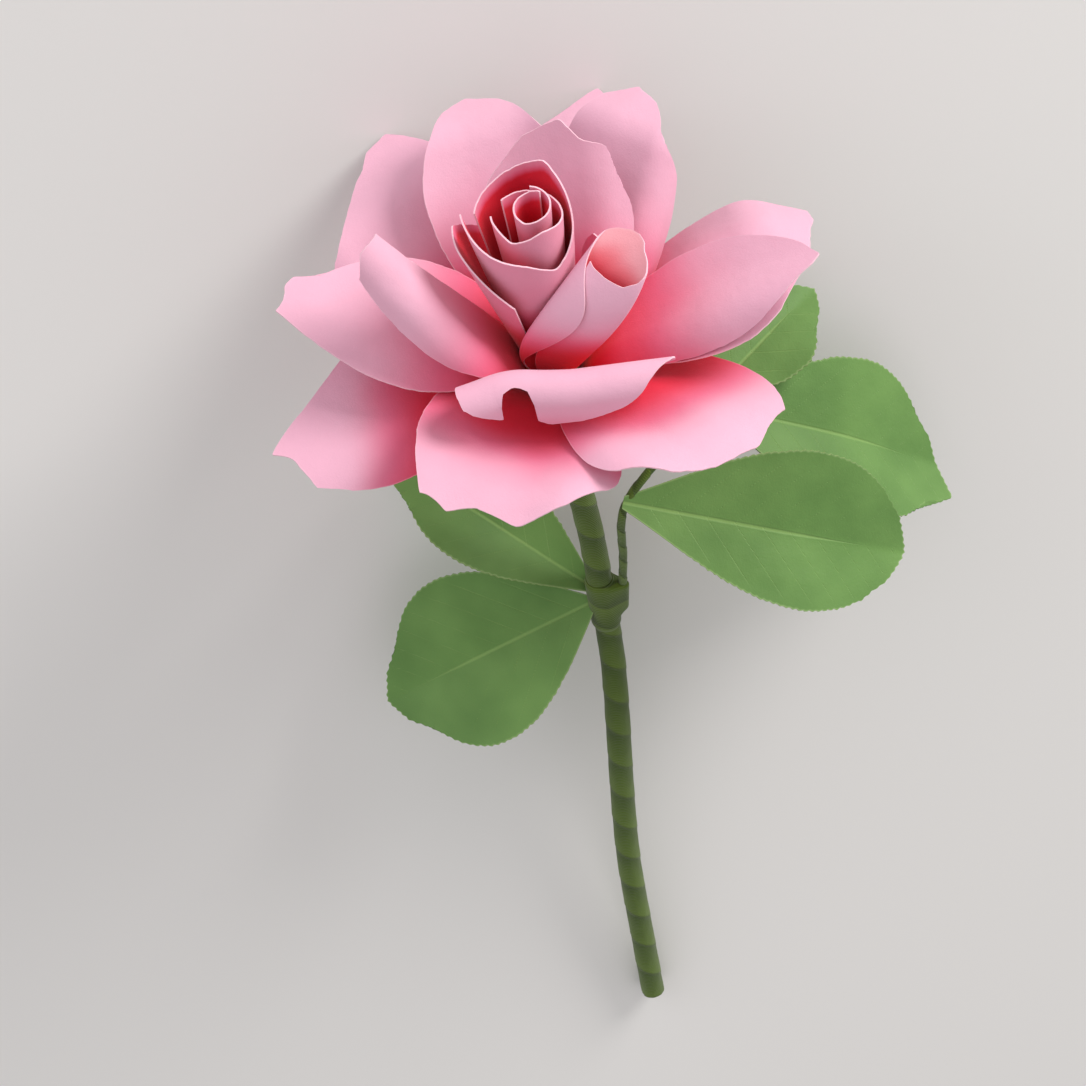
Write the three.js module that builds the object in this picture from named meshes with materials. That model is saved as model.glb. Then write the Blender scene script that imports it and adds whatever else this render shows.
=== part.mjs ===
// Paper rose: one rose of pink card on a taped wire stem, with five green card leaves.
// The rose is drawn upright, the flower's axis on Z and its front petal towards -Y, then laid down.

import * as THREE from 'three';

// Driving dimensions, in millimetres and degrees
const petalCard = 0.3;        // thickness of the pink card
const leafCard = 0.3;         // thickness of the green card
const seam = 0.3;             // clearance between pieces that touch
const wireRadius = 1.5;
const tapeWall = 0.8;
const stalkRadius = 0.9;
const plugRadius = 4.6;       // the rolled paper plug that the petals are glued to
const plugFoot = 7;           // length of plug below the lowest petals
const plugBoreDepth = 12;
const tabHalfWidth = 1.9;     // half the width of a petal's glued foot
const leafFootHalfWidth = 1.2;
const layerRise = 3.6;        // height of one ring of petals above the ring below
const sepalReach = 17;        // from the flower's axis to the tip of a sepal
const calyxDrop = 2.8;        // below the seat of the outer petals
const petalRows = 10;
const leafRows = 10;

const radians = THREE.MathUtils.degToRad;
const petalRing = plugRadius + seam + petalCard / 2;
const bore = wireRadius + seam;
const tapeRadius = bore + tapeWall;
const budSeat = 2 * layerRise + 2.3;
const upAxis = new THREE.Vector3(0, 0, 1);

const pink = new THREE.MeshStandardMaterial({ color: 0xe8b4c4, roughness: 0.75, metalness: 0 });
const deepPink = new THREE.MeshStandardMaterial({ color: 0xe0909f, roughness: 0.75, metalness: 0 });
const leafGreen = new THREE.MeshStandardMaterial({ color: 0x55803a, roughness: 0.7, metalness: 0 });
const stemGreen = new THREE.MeshStandardMaterial({ color: 0x4c6418, roughness: 0.8, metalness: 0 });
const wireGrey = new THREE.MeshStandardMaterial({ color: 0x8a8d90, roughness: 0.4, metalness: 1 });
const plugWhite = new THREE.MeshStandardMaterial({ color: 0xd9d5cc, roughness: 0.9, metalness: 0 });

const rose = new THREE.Group();
rose.name = 'rose';

function add(name, geometry, material) {
  const mesh = new THREE.Mesh(geometry, material);
  mesh.name = name;
  rose.add(mesh);
  return mesh;
}

// Rolls the sheet about a line in its plane, as round a dowel. The line passes through x, y at the
// angle axis, what lies to its left is rolled, and a positive turn rolls it up.
function roll(p, { x = 0, y = 0, axis = 0, radius, turn }) {
  const nx = -Math.sin(radians(axis));
  const ny = Math.cos(radians(axis));
  const reach = (p.x - x) * nx + (p.y - y) * ny;
  if (reach <= 0) return;
  const side = Math.sign(turn);
  const angle = Math.min(reach / radius, radians(Math.abs(turn)));
  const rest = reach - angle * radius;
  const height = p.z * side;
  const along = (radius - height) * Math.sin(angle) + rest * Math.cos(angle);
  const rise = radius - (radius - height) * Math.cos(angle) + rest * Math.sin(angle);
  p.x += nx * (along - reach);
  p.y += ny * (along - reach);
  p.z = side * rise;
}

function bezier(a, b, c, d, t) {
  const s = 1 - t;
  return s * s * s * a + 3 * s * s * t * b + 3 * s * t * t * c + t * t * t * d;
}

// The flat outline of a petal or leaf. The tip is a list of corners: place across from -1 to 1,
// height above the stated length, and how far the cut to the next corner is hollowed.
function flatPoint(cut, across, up) {
  const spans = cut.tip.length - 1;
  const span = Math.min(Math.floor(across * spans), spans - 1);
  const t = across * spans - span;
  const [u0, h0, hollow = 0] = cut.tip[span];
  const [u1, h1] = cut.tip[span + 1];
  const u = u0 + (u1 - u0) * t;
  const h = h0 + (h1 - h0) * t - 4 * hollow * t * (1 - t);
  const side = u < 0 ? cut.left : cut.right;
  const halfWidth = bezier(cut.foot, side[0], side[1], side[2], up);
  return [u * halfWidth, up * (cut.length + h * up)];
}

// One sheet of card, cut to its outline and rolled. Each straight of the tip is two columns wide.
function sheetGeometry(cut, card, rows) {
  const geometry = new THREE.BoxGeometry(1, 1, 1, (cut.tip.length - 1) * 2, rows, 1);
  const position = geometry.attributes.position;
  const p = new THREE.Vector3();
  for (let i = 0; i < position.count; i++) {
    p.fromBufferAttribute(position, i);
    const [x, y] = flatPoint(cut, p.x + 0.5, p.y + 0.5);
    p.set(x, y, p.z * card).applyAxisAngle(upAxis, radians(cut.skew ?? 0));
    for (const bend of cut.rolls) roll(p, bend);
    position.setXYZ(i, p.x, p.y, p.z);
  }
  geometry.computeVertexNormals();
  return geometry;
}

// A petal stands on its ring at an azimuth, counter-clockwise from +X seen from above
function petal(name, layer, cut) {
  const geometry = sheetGeometry({ foot: tabHalfWidth, ...cut }, petalCard, petalRows);
  geometry.rotateY(radians(-(cut.yaw ?? layer.yaw)));
  geometry.rotateX(radians(cut.rise ?? layer.rise));
  geometry.translate(0, petalRing, layer.seat + (cut.lift ?? 0));
  add(name, geometry, layer.material).rotation.z = radians(cut.azimuth - 90);
}

const outer = { seat: 0, rise: 62, yaw: 8, material: pink };
const middle = { seat: layerRise, rise: 66, yaw: 8, material: pink };
const inner = { seat: 2 * layerRise, rise: 74, yaw: 8, material: deepPink };

petal('outer_petal_front_left', outer, {
  azimuth: 207.7, yaw: 21, lift: -2.2, length: 42, left: [8, 17, 14], right: [18, 18, 13],
  tip: [[-1, -2], [-0.88, 4], [-0.5, 6.5, 0.8], [-0.33, 10.5], [1, -8]],
  rolls: [{ x: -9, axis: 90, radius: 14, turn: -35 }, { x: 3, axis: -90, radius: 22, turn: 10 },
    { x: -3, axis: 90, radius: 22, turn: -15 }, { y: 3, radius: 14, turn: -59.3 }],
});
petal('outer_petal_front', outer, {
  azimuth: 254.8, yaw: 11, length: 40, left: [14, 24, 18.5], right: [19, 20, 10.5],
  tip: [[-1, -10], [-0.73, -3.5], [-0.32, 2, 2], [0.52, 2.5, 0.8], [1, 1]],
  rolls: [{ x: -11, axis: 90, radius: 9, turn: -45 }, { y: 30, radius: 20, turn: -25 },
    { x: 3, axis: -90, radius: 22, turn: 11 }, { x: -3, axis: 90, radius: 22, turn: 13 },
    { y: 3, radius: 14, turn: -51.3 }],
});
petal('outer_petal_front_right', outer, {
  azimuth: 319, yaw: 17, lift: -0.6, length: 40, left: [21, 25, 17], right: [14, 22, 16.5],
  tip: [[-1, -1, 0.8], [-0.44, 3.5], [0.16, 3], [0.58, 0.5], [1, -6]],
  rolls: [{ x: 11, axis: -90, radius: 10, turn: -40 }, { y: 34, radius: 16, turn: -25 },
    { x: 3, axis: -90, radius: 22, turn: 8 }, { x: -3, axis: 90, radius: 22, turn: -8 },
    { y: 3, radius: 14, turn: -52.6 }],
});
petal('outer_petal_right', outer, {
  azimuth: 17.6, yaw: 10, lift: -0.1, length: 48, left: [14, 24, 13], right: [14, 22, 15.5],
  tip: [[-1, 0], [-0.85, 4], [-0.5, 4.5], [0.4, 0], [1, -9]],
  rolls: [{ y: 38, radius: 12, turn: -35 }, { x: 3, axis: -90, radius: 22, turn: -7 },
    { x: -3, axis: 90, radius: 22, turn: -17 }, { y: 3, radius: 14, turn: -41.4 }],
});
petal('outer_petal_back', outer, {
  azimuth: 80, yaw: 13, lift: -0.7, length: 56, left: [14, 20, 9], right: [14, 20, 9],
  tip: [[-1, -9], [-0.55, -3], [-0.15, 1], [0.4, -4], [1, -9]],
  rolls: [{ y: 38, radius: 14, turn: -30 }, { x: 3, axis: -90, radius: 22, turn: 30 },
    { x: -3, axis: 90, radius: 22, turn: -8 }, { y: 3, radius: 14, turn: -35.1 }],
});
petal('outer_petal_back_left', outer, {
  azimuth: 132.9, yaw: 12, lift: -0.7, length: 52, left: [14, 25, 16.5], right: [14, 19, 10],
  tip: [[-1, -14], [-0.55, -7.5], [-0.18, -2], [0.3, 3], [0.8, 4], [1, 1]],
  rolls: [{ y: 38, radius: 14, turn: -30 }, { x: -10, axis: 95, radius: 10, turn: -40 },
    { x: 3, axis: -90, radius: 22, turn: 2 }, { x: -3, axis: 90, radius: 22, turn: -1 },
    { y: 3, radius: 14, turn: -37.2 }],
});

petal('middle_petal_left', middle, {
  azimuth: 176.4, yaw: 9, lift: 2.7, length: 46, left: [22, 16, 7], right: [14, 14, 1.5],
  tip: [[-1, 1, 0.5], [-0.3, 0.5], [1, -5]],
  rolls: [{ x: -4, axis: 84, radius: 16, turn: -28 }, { x: 2, axis: -90, radius: 30, turn: 30 },
    { x: 3, axis: -90, radius: 22, turn: -6 }, { x: -3, axis: 90, radius: 22, turn: 11 },
    { y: 3, radius: 14, turn: -43.4 }],
});
petal('middle_petal_front', middle, {
  azimuth: 266, yaw: 5, lift: 0.6, length: 33, left: [20, 24, 21], right: [12, 17, 15.5],
  tip: [[-1, -9], [-0.66, -0.5], [-0.37, 2], [-0.05, 3], [0.25, 1, 5], [0.58, 0.5],
    [0.92, -2.5], [1, -4]],
  rolls: [{ y: 22.7, radius: 3.5, turn: -145 }, { x: 3, axis: -90, radius: 22, turn: -20 },
    { x: -3, axis: 90, radius: 22, turn: 7 }, { y: 3, radius: 14, turn: -13.5 }],
});
petal('middle_petal_right', middle, {
  azimuth: 359.2, yaw: 11, lift: -0.7, length: 49, left: [10, 18, 6], right: [12, 15, 3],
  tip: [[-1, -2], [-0.3, 1.5], [1, -4]],
  rolls: [{ x: 4, axis: -86, radius: 6, turn: -80 }, { x: -3, axis: 90, radius: 30, turn: 25 },
    { x: 3, axis: -90, radius: 22, turn: -12 }, { x: -3, axis: 90, radius: 22, turn: 7 },
    { y: 3, radius: 14, turn: -42.5 }],
});
petal('middle_petal_back_right', middle, {
  azimuth: 59.5, yaw: 14, lift: 0.6, length: 47, left: [12, 18, 11.5], right: [20, 20, 7],
  tip: [[-1, -1], [-0.56, 3], [-0.13, 1.5], [0.3, -1], [1, -7]],
  rolls: [{ y: 38, radius: 8, turn: -40 }, { x: 7, axis: -86, radius: 6, turn: -80 },
    { x: 3, axis: -90, radius: 22, turn: -67 }, { x: -3, axis: 90, radius: 22, turn: -9 },
    { y: 3, radius: 14, turn: -23.7 }],
});
petal('middle_petal_back_left', middle, {
  azimuth: 107.6, yaw: 17, lift: 0.8, length: 46, left: [12, 18, 10.5], right: [14, 18, 10.5],
  tip: [[-1, -5.5], [-0.62, 1.5], [-0.28, 4.5], [0.3, 1.5], [1, -8.5]],
  rolls: [{ y: 38, radius: 8, turn: -50 }, { x: 4, axis: -90, radius: 30, turn: 20 },
    { x: -4, axis: 90, radius: 30, turn: 20 }, { x: 3, axis: -90, radius: 22, turn: 15 },
    { x: -3, axis: 90, radius: 22, turn: 4 }, { y: 3, radius: 14, turn: -27.5 }],
});

petal('inner_petal_left', inner, {
  azimuth: 192.9, yaw: 9, lift: 0.3, rise: 76, length: 43, left: [18, 15, 6], right: [5, 1.5, 3],
  tip: [[-1, -1], [-0.3, 1], [1, -1]],
  rolls: [{ x: -8, y: 12, axis: 70, radius: 4.5, turn: -110 },
    { x: 3, axis: -90, radius: 22, turn: -7 }, { x: -3, axis: 90, radius: 22, turn: 2 },
    { y: 3, radius: 14, turn: -19.9 }],
});
petal('inner_petal_right', inner, {
  azimuth: 346.3, lift: 1.1, length: 26, left: [8, 12, 7], right: [8, 12, 7],
  tip: [[-1, -3], [0, 0], [1, -4]],
  rolls: [{ axis: -90, radius: 12, turn: 40 }, { axis: 90, radius: 12, turn: 40 },
    { x: 3, axis: -90, radius: 22, turn: 8 }, { x: -3, axis: 90, radius: 22, turn: 8 },
    { y: 3, radius: 14, turn: 4.8 }],
});
petal('inner_petal_back', inner, {
  azimuth: 68.3, yaw: 1, lift: 0.2, length: 38, left: [14, 18, 11.5], right: [14, 16, 9.5],
  tip: [[-1, -7], [-0.7, -2], [-0.17, 1.5], [0.2, -1.5], [0.7, -2.5], [1, -9]],
  rolls: [{ x: 6, axis: -84, radius: 6, turn: -55 }, { x: -2, axis: 90, radius: 22, turn: 40 },
    { x: 3, axis: -90, radius: 22, turn: 8 }, { x: -3, axis: 90, radius: 22, turn: 1 },
    { y: 3, radius: 14, turn: -11.4 }],
});

// The height of a rim at a share of its way round. The rim is a list of corners: share, height.
function rimHeight(rim, wound) {
  const corner = Math.max(rim.findIndex(([share]) => share >= wound - 1e-9), 1);
  const [s0, h0] = rim[corner - 1];
  const [s1, h1] = rim[corner];
  return h0 + (h1 - h0) * (wound - s0) / (s1 - s0);
}

// A petal wound round the bud, columns by 6: its radius changes by a spiral as it turns, and it
// flares upwards.
function wrap(name, w) {
  const geometry = new THREE.BoxGeometry(1, 1, 1, w.columns, 6, 1);
  const position = geometry.attributes.position;
  for (let i = 0; i < position.count; i++) {
    const wound = position.getX(i) + 0.5;
    const up = position.getY(i) + 0.5;
    const height = up * rimHeight(w.rim, wound);
    const angle = radians(w.start + w.turn * wound);
    const share = height / w.height;
    const flare = w.foot + (w.mouth - w.foot) * share ** (w.curve ?? 0.8);
    const grown = w.spread * w.turn * wound / 360 * (0.35 + 0.65 * share);
    const radius = flare + grown + position.getZ(i) * petalCard;
    position.setXYZ(i, radius * Math.cos(angle) + w.lean * height, radius * Math.sin(angle),
      budSeat + height);
  }
  geometry.computeVertexNormals();
  add(name, geometry, deepPink);
}

wrap('inner_petal_front_left', {
  columns: 12, start: 138, turn: 105, foot: 4.9, mouth: 13.4, curve: 1, spread: 0, height: 31, lean: -0.03,
  rim: [[0, 24], [0.3, 30], [0.6, 29], [1, 20]],
});
wrap('bud_roll', {
  columns: 26, start: 45, turn: 400, foot: 1.2, mouth: 2.6, spread: 0.8, height: 34, lean: -0.01,
  rim: [[0, 35.5], [0.5, 33], [1, 35.5]],
});
wrap('bud_wrap_inner', {
  columns: 22, start: 178, turn: 320, foot: 3, mouth: 6.2, spread: -0.8, height: 33, lean: -0.03,
  rim: [[0, 33], [0.08, 33], [0.18, 31], [0.35, 33.5], [0.55, 32], [1, 33]],
});
wrap('bud_wrap_outer', {
  columns: 26, start: 178, turn: 345, foot: 4.2, mouth: 9.6, spread: -1.6, height: 33, lean: -0.07,
  rim: [[0, 34.5], [0.14, 30.5], [0.26, 29], [0.36, 25.5], [0.52, 30], [0.68, 37.5], [0.86, 34],
    [1, 32]],
});

// A petal rolled to a leaning cone. Its level sections are ovals that drift and widen as they rise.
// It is wound from the free edge of its front flap round the left, the back and the right, and
// ends under the flap. The lists are the corners of cubic curves from its foot to its mouth.
function cone(name, c) {
  const geometry = new THREE.BoxGeometry(1, 1, 1, 40, 12, 1);
  const position = geometry.attributes.position;
  for (let i = 0; i < position.count; i++) {
    const wound = 0.5 - position.getX(i);
    const height = (position.getY(i) + 0.5) * rimHeight(c.rim, wound);
    const share = height / c.height;
    const flap = Math.max(bezier(...c.flap, share), 0);
    const under = Math.max(bezier(...c.under, share), 0);
    const angle = radians(180 + flap - (360 + flap - under) * wound);
    const inward = c.inward * wound * THREE.MathUtils.smoothstep(share, 0.1, 0.4);
    const long = bezier(...c.long, share) - inward;
    const short = bezier(...c.short, share) - inward;
    const across = new THREE.Vector2(Math.cos(angle) / long, Math.sin(angle) / short).normalize();
    const x = long * Math.cos(angle) + across.x * position.getZ(i) * petalCard;
    const y = short * Math.sin(angle) + across.y * position.getZ(i) * petalCard;
    const turned = radians(bezier(...c.turned, share));
    position.setXYZ(i, bezier(...c.x, share) + x * Math.cos(turned) - y * Math.sin(turned),
      bezier(...c.y, share) + x * Math.sin(turned) + y * Math.cos(turned), inner.seat + height);
  }
  geometry.computeVertexNormals();
  add(name, geometry, deepPink);
}
cone('inner_petal_front_right', {
  x: [0.2, -1.5, 4.2, 14.4], y: [-5.35, -7.9, -16, -6.3], turned: [0, -24, 6, -45],
  long: [1.9, 8.5, 8.6, 5.5], short: [0.6, 0.9, 2.3, 2.6], inward: 0.75,
  flap: [-20, 10, 190, 5], under: [60, 35, 80, 25], height: 30,
  rim: [[0, 29.5], [0.03, 30.3], [0.27, 30.8], [0.53, 28.5], [0.78, 26.6], [0.9, 27.5], [1, 28]],
});

// The plug is rolled paper, bored from below for the wire
const plugTop = budSeat - 0.5;
const boreTop = plugBoreDepth - plugFoot;
const plugProfile = [
  [0, boreTop], [bore, boreTop], [bore, -plugFoot], [plugRadius - 1.4, -plugFoot],
  [plugRadius, -calyxDrop - 0.8], [plugRadius, plugTop], [0, plugTop],
].map(([x, y]) => new THREE.Vector2(x, y));
add('petal_plug', new THREE.LatheGeometry(plugProfile, 24).rotateX(radians(90)), plugWhite);

// The calyx is a five-pointed star of green card with a hole for the plug. It is a closed ring
// whose outer edge swings out to a sepal every 72 degrees.
function calyx() {
  const steps = 3;
  const hole = plugRadius + seam;
  const section = [];
  for (let i = 0; i <= steps; i++) section.push(new THREE.Vector2(1 + i / steps, -leafCard / 2));
  for (let i = steps; i >= 0; i--) section.push(new THREE.Vector2(1 + i / steps, leafCard / 2));
  section.push(section[0].clone());
  const geometry = new THREE.LatheGeometry(section, 40).rotateX(radians(90));
  const position = geometry.attributes.position;
  for (let i = 0; i < position.count; i++) {
    const angle = Math.atan2(position.getY(i), position.getX(i));
    const out = Math.hypot(position.getX(i), position.getY(i)) - 1;
    const sepal = Math.abs(Math.cos(2.5 * angle)) ** 2.2;
    const edge = hole + 2 + (sepalReach - hole - 2) * sepal;
    const radius = hole + (edge - hole) * out;
    const drop = calyxDrop + 0.018 * (radius - hole) ** 2;
    position.setXYZ(i, radius * Math.cos(angle), radius * Math.sin(angle), position.getZ(i) - drop);
  }
  geometry.computeVertexNormals();
  add('calyx', geometry, leafGreen);
}
calyx();

// A round rod or tube that follows a line of places
function rod(name, places, segments, radius, boreRadius, material) {
  const section = new THREE.Shape().absarc(0, 0, radius, 0, 2 * Math.PI);
  if (boreRadius) section.holes.push(new THREE.Path().absarc(0, 0, boreRadius, 0, 2 * Math.PI));
  const extrudePath = new THREE.CatmullRomCurve3(places.map((place) => new THREE.Vector3(...place)));
  const geometry = new THREE.ExtrudeGeometry(section, { steps: segments, extrudePath,
    curveSegments: 8, bevelEnabled: false });
  add(name, geometry, material);
}

// The stem hangs from the plug and bends towards the front
const stemLine = [
  [1.2, -0.1, -22], [3.1, -1, -41], [3.9, -3, -60], [4.4, -5.3, -74], [4.1, -8, -87],
  [2.9, -13, -115], [2.6, -16.5, -133], [3.4, -21, -154], [4.2, -25, -172],
];
rod('stem_wire', [[0, 0, boreTop - seam], [0, 0, -plugFoot - seam], ...stemLine], 18, wireRadius, 0,
  wireGrey);
rod('stem_wrap', [[0, 0, -plugFoot - seam], [0.15, 0, -plugFoot - 5], ...stemLine], 18, tapeRadius,
  bore, stemGreen);

// A leaf grows from a place, its midrib at an azimuth and a rise, its face turned about the midrib
function leaf(name, cut) {
  const geometry = sheetGeometry({ foot: leafFootHalfWidth, ...cut }, leafCard, leafRows);
  geometry.rotateY(radians(-cut.yaw));
  geometry.rotateX(radians(cut.rise));
  const mesh = add(name, geometry, leafGreen);
  mesh.rotation.z = radians(cut.azimuth - 90);
  mesh.position.set(...cut.at);
}

rod('leaf_stalk', [[7.7, -3, -61], [8.6, -3.8, -48], [10, -4.6, -31], [17, -1, -24], [29, 9, -23]], 10,
  stalkRadius, 0, stemGreen);

// Both halves of a leaf are folded up a little along the midrib
const midribFold = [{ axis: -90, radius: 4, turn: 12 }, { axis: 90, radius: 4, turn: 12 }];
const leafTip = [[-1, -7], [-0.6, -2], [0, 1.5], [0.6, -2], [1, -7]];

leaf('leaf_left_low', {
  at: [0.9, -3.2, -60.5], azimuth: 187, rise: -20, yaw: 38, length: 45,
  left: [18, 24, 9], right: [18, 24, 9], tip: leafTip,
  rolls: [...midribFold, { y: 22, radius: 60, turn: -15 }],
});
leaf('leaf_left_high', {
  at: [1.1, -0.9, -57], azimuth: 150, rise: 30, yaw: 16, length: 44,
  left: [10, 16, 6], right: [10, 16, 6], tip: leafTip,
  rolls: [...midribFold, { y: 22, radius: 60, turn: -15 }],
});
leaf('leaf_right_front', {
  at: [11.9, -5.5, -30], azimuth: 352, rise: -19, yaw: -44, length: 54,
  left: [14, 20, 9], right: [12, 19, 10], tip: leafTip,
  rolls: [...midribFold, { y: 22, radius: 60, turn: -15 }],
});
leaf('leaf_right_end', {
  at: [29.7, 9.7, -23.4], azimuth: 2, rise: -30, yaw: -30, length: 53,
  left: [14, 22, 8], right: [14, 22, 8], tip: leafTip,
  rolls: [...midribFold, { y: 22, radius: 60, turn: -15 }],
});
leaf('leaf_right_back', {
  at: [27.2, 9.6, -21.5], azimuth: 40, rise: 10, yaw: -20, length: 32,
  left: [8, 14, 6], right: [8, 14, 6], tip: leafTip,
  rolls: [...midribFold, { y: 16, radius: 60, turn: -15 }],
});

// Laid down with its face up, the rose rests on the tips of its back petals and the stem's end
const layBack = -69.1;
const rollOver = -5.1;
rose.rotation.x = radians(layBack);
const laid = new THREE.Group();
laid.rotation.y = radians(rollOver);
laid.add(rose);
const bounds = new THREE.Box3().setFromObject(laid, true);
const middleOfBounds = bounds.getCenter(new THREE.Vector3());
laid.position.set(-middleOfBounds.x, -middleOfBounds.y, -bounds.min.z);

export default laid;
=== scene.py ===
# Paper rose: pink card petals on a taped wire stem with green card leaves, lying as it comes to
# rest. Each shape is drawn upright in millimetres, its flower's axis on Z and its front petal
# towards -Y, then laid down and turned into metres.

import math

import bmesh
import bpy
from mathutils import Matrix, Vector, noise


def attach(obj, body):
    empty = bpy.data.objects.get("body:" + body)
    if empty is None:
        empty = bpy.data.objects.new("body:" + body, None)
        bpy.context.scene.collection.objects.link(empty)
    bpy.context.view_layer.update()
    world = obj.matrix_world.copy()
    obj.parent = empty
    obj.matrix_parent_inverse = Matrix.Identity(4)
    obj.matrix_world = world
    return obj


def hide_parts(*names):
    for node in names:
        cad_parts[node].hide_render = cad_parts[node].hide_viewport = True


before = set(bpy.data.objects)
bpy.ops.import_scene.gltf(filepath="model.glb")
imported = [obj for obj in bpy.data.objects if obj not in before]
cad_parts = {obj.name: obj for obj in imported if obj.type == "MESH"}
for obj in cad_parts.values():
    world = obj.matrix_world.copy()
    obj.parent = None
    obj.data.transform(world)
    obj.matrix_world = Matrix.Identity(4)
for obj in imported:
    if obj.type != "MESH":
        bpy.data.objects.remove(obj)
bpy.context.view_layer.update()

petalCard = 0.3
leafCard = 0.3
cutUneven = 0.16
cardWave = 0.22
plugRadius = 4.6
seam = 0.3
layerRise = 3.6
budSeat = 2 * layerRise + 2.3
petalRing = plugRadius + seam + petalCard / 2
tabHalfWidth = 1.9
leafFootHalfWidth = 1.2
plugFoot = 7
bore = 1.8
tapeRadius = 2.6
stalkRadius = 0.9

millimetre = 0.001
layBack = math.radians(-69.1)
rollOver = math.radians(-5.1)
laidPlace = Vector((-12.012, 61.157, 40.039)) * millimetre
laying = (Matrix.Translation(laidPlace) @ Matrix.Rotation(rollOver, 4, "Y")
          @ Matrix.Rotation(layBack, 4, "X"))


def paint(red, green, blue):
    def linear(channel):
        share = channel / 255
        return share / 12.92 if share <= 0.04045 else ((share + 0.055) / 1.055) ** 2.4
    return (linear(red), linear(green), linear(blue), 1)


# A value in a material's graph, which takes part in sums
class Term:
    def __init__(self, graph, socket):
        self.graph = graph
        self.socket = socket

    def __add__(self, other):
        return self.graph.math("ADD", self, other)

    def __radd__(self, other):
        return self.graph.math("ADD", other, self)

    def __sub__(self, other):
        return self.graph.math("SUBTRACT", self, other)

    def __rsub__(self, other):
        return self.graph.math("SUBTRACT", other, self)

    def __mul__(self, other):
        return self.graph.math("MULTIPLY", self, other)

    def __rmul__(self, other):
        return self.graph.math("MULTIPLY", other, self)

    def __truediv__(self, other):
        return self.graph.math("DIVIDE", self, other)

    def __rtruediv__(self, other):
        return self.graph.math("DIVIDE", other, self)


class Graph:
    def __init__(self, name):
        self.material = bpy.data.materials.new(name)
        self.material.use_nodes = True
        self.tree = self.material.node_tree
        self.shader = self.tree.nodes["Principled BSDF"]
        self.place = self.node("ShaderNodeTexCoord").outputs["Object"]

    def feed(self, socket, value):
        if isinstance(value, Term):
            value = value.socket
        if isinstance(value, bpy.types.NodeSocket):
            self.tree.links.new(value, socket)
        else:
            socket.default_value = value

    def node(self, kind, settings=None, values=None):
        made = self.tree.nodes.new(kind)
        for key, value in (settings or {}).items():
            setattr(made, key, value)
        for key, value in (values or {}).items():
            self.feed(made.inputs[key], value)
        return made

    def math(self, operation, *values):
        made = self.node("ShaderNodeMath", {"operation": operation}, dict(enumerate(values)))
        return Term(self, made.outputs[0])

    def clamp(self, value, low, high):
        made = self.node("ShaderNodeMapRange", {"interpolation_type": "SMOOTHSTEP"},
                         {"Value": value, "From Min": low, "From Max": high})
        return Term(self, made.outputs["Result"])

    def mix(self, share, low, high):
        made = self.node("ShaderNodeMix", {"data_type": "RGBA"}, {0: share, 6: low, 7: high})
        return Term(self, made.outputs[2])

    def tint(self, colour, factor):
        made = self.node("ShaderNodeVectorMath", {"operation": "SCALE"},
                         {0: colour, "Scale": factor})
        return Term(self, made.outputs[0])

    def attribute(self, name):
        return Term(self, self.node("ShaderNodeAttribute", {"attribute_name": name}).outputs["Fac"])

    # Noise whose grains are a given number of millimetres across, about -1 to 1
    def grain(self, width, detail):
        made = self.node("ShaderNodeTexNoise", None, {
            "Vector": self.place, "Scale": 1 / (width * millimetre), "Detail": detail})
        return Term(self, made.outputs["Fac"]) * 2 - 1

    # The heights are in millimetres
    def bump(self, height):
        made = self.node("ShaderNodeBump", None, {"Height": height, "Distance": millimetre})
        return made.outputs["Normal"]

    def finish(self, colour, roughness, normal, specular=0.3, sheen=0.0):
        self.feed(self.shader.inputs["Base Color"], colour)
        self.feed(self.shader.inputs["Roughness"], roughness)
        self.feed(self.shader.inputs["Normal"], normal)
        self.shader.inputs["Specular IOR Level"].default_value = specular
        self.shader.inputs["Sheen Weight"].default_value = sheen
        return self.material


# Dyed card. Its colour runs from the pale colour at a petal's edge to the deep one at its foot,
# partly as dye and partly as painted shade, and goes deeper down between the petals as painted
# shade.
# On the inside of a roll it also goes deeper over the given millimetres below the rim, as painted
# shade.
def petalMaterial(name, look):
    graph = Graph(name)
    dyeAndShade = graph.attribute("dyeAndShade") + 0.05 * graph.grain(9, 1)
    # Inside a roll the colour goes deeper below the rim: painted shade
    if "shadeBelowRim" in look:
        dyeAndShade = dyeAndShade + 0.9 * graph.clamp(graph.attribute("rib"), 0.3, look["shadeBelowRim"])
    edge = graph.attribute("edge")
    fibre = graph.grain(0.35, 4)
    cloud = graph.grain(5, 3)
    colour = graph.mix(graph.clamp(dyeAndShade, 0.0, 0.6), paint(*look["pale"]), paint(*look["middle"]))
    colour = graph.mix(graph.clamp(dyeAndShade, 0.45, 1.0), colour, paint(*look["deep"]))
    colour = graph.tint(colour, 1 + 0.025 * fibre + 0.03 * cloud)
    # Near the cut edge the colour turns paler: partly the card's paler middle, partly a painted
    # highlight where the edge catches the light
    colour = graph.mix(graph.clamp(edge, 0.25, 0.0) * 0.25, colour, paint(*look["rim"]))
    relief = 0.018 * fibre + 0.012 * graph.grain(0.12, 2) + 0.05 * graph.grain(3, 1)
    return graph.finish(colour, 0.7 + 0.06 * fibre, graph.bump(relief), 0.25, 0.15)


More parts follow.
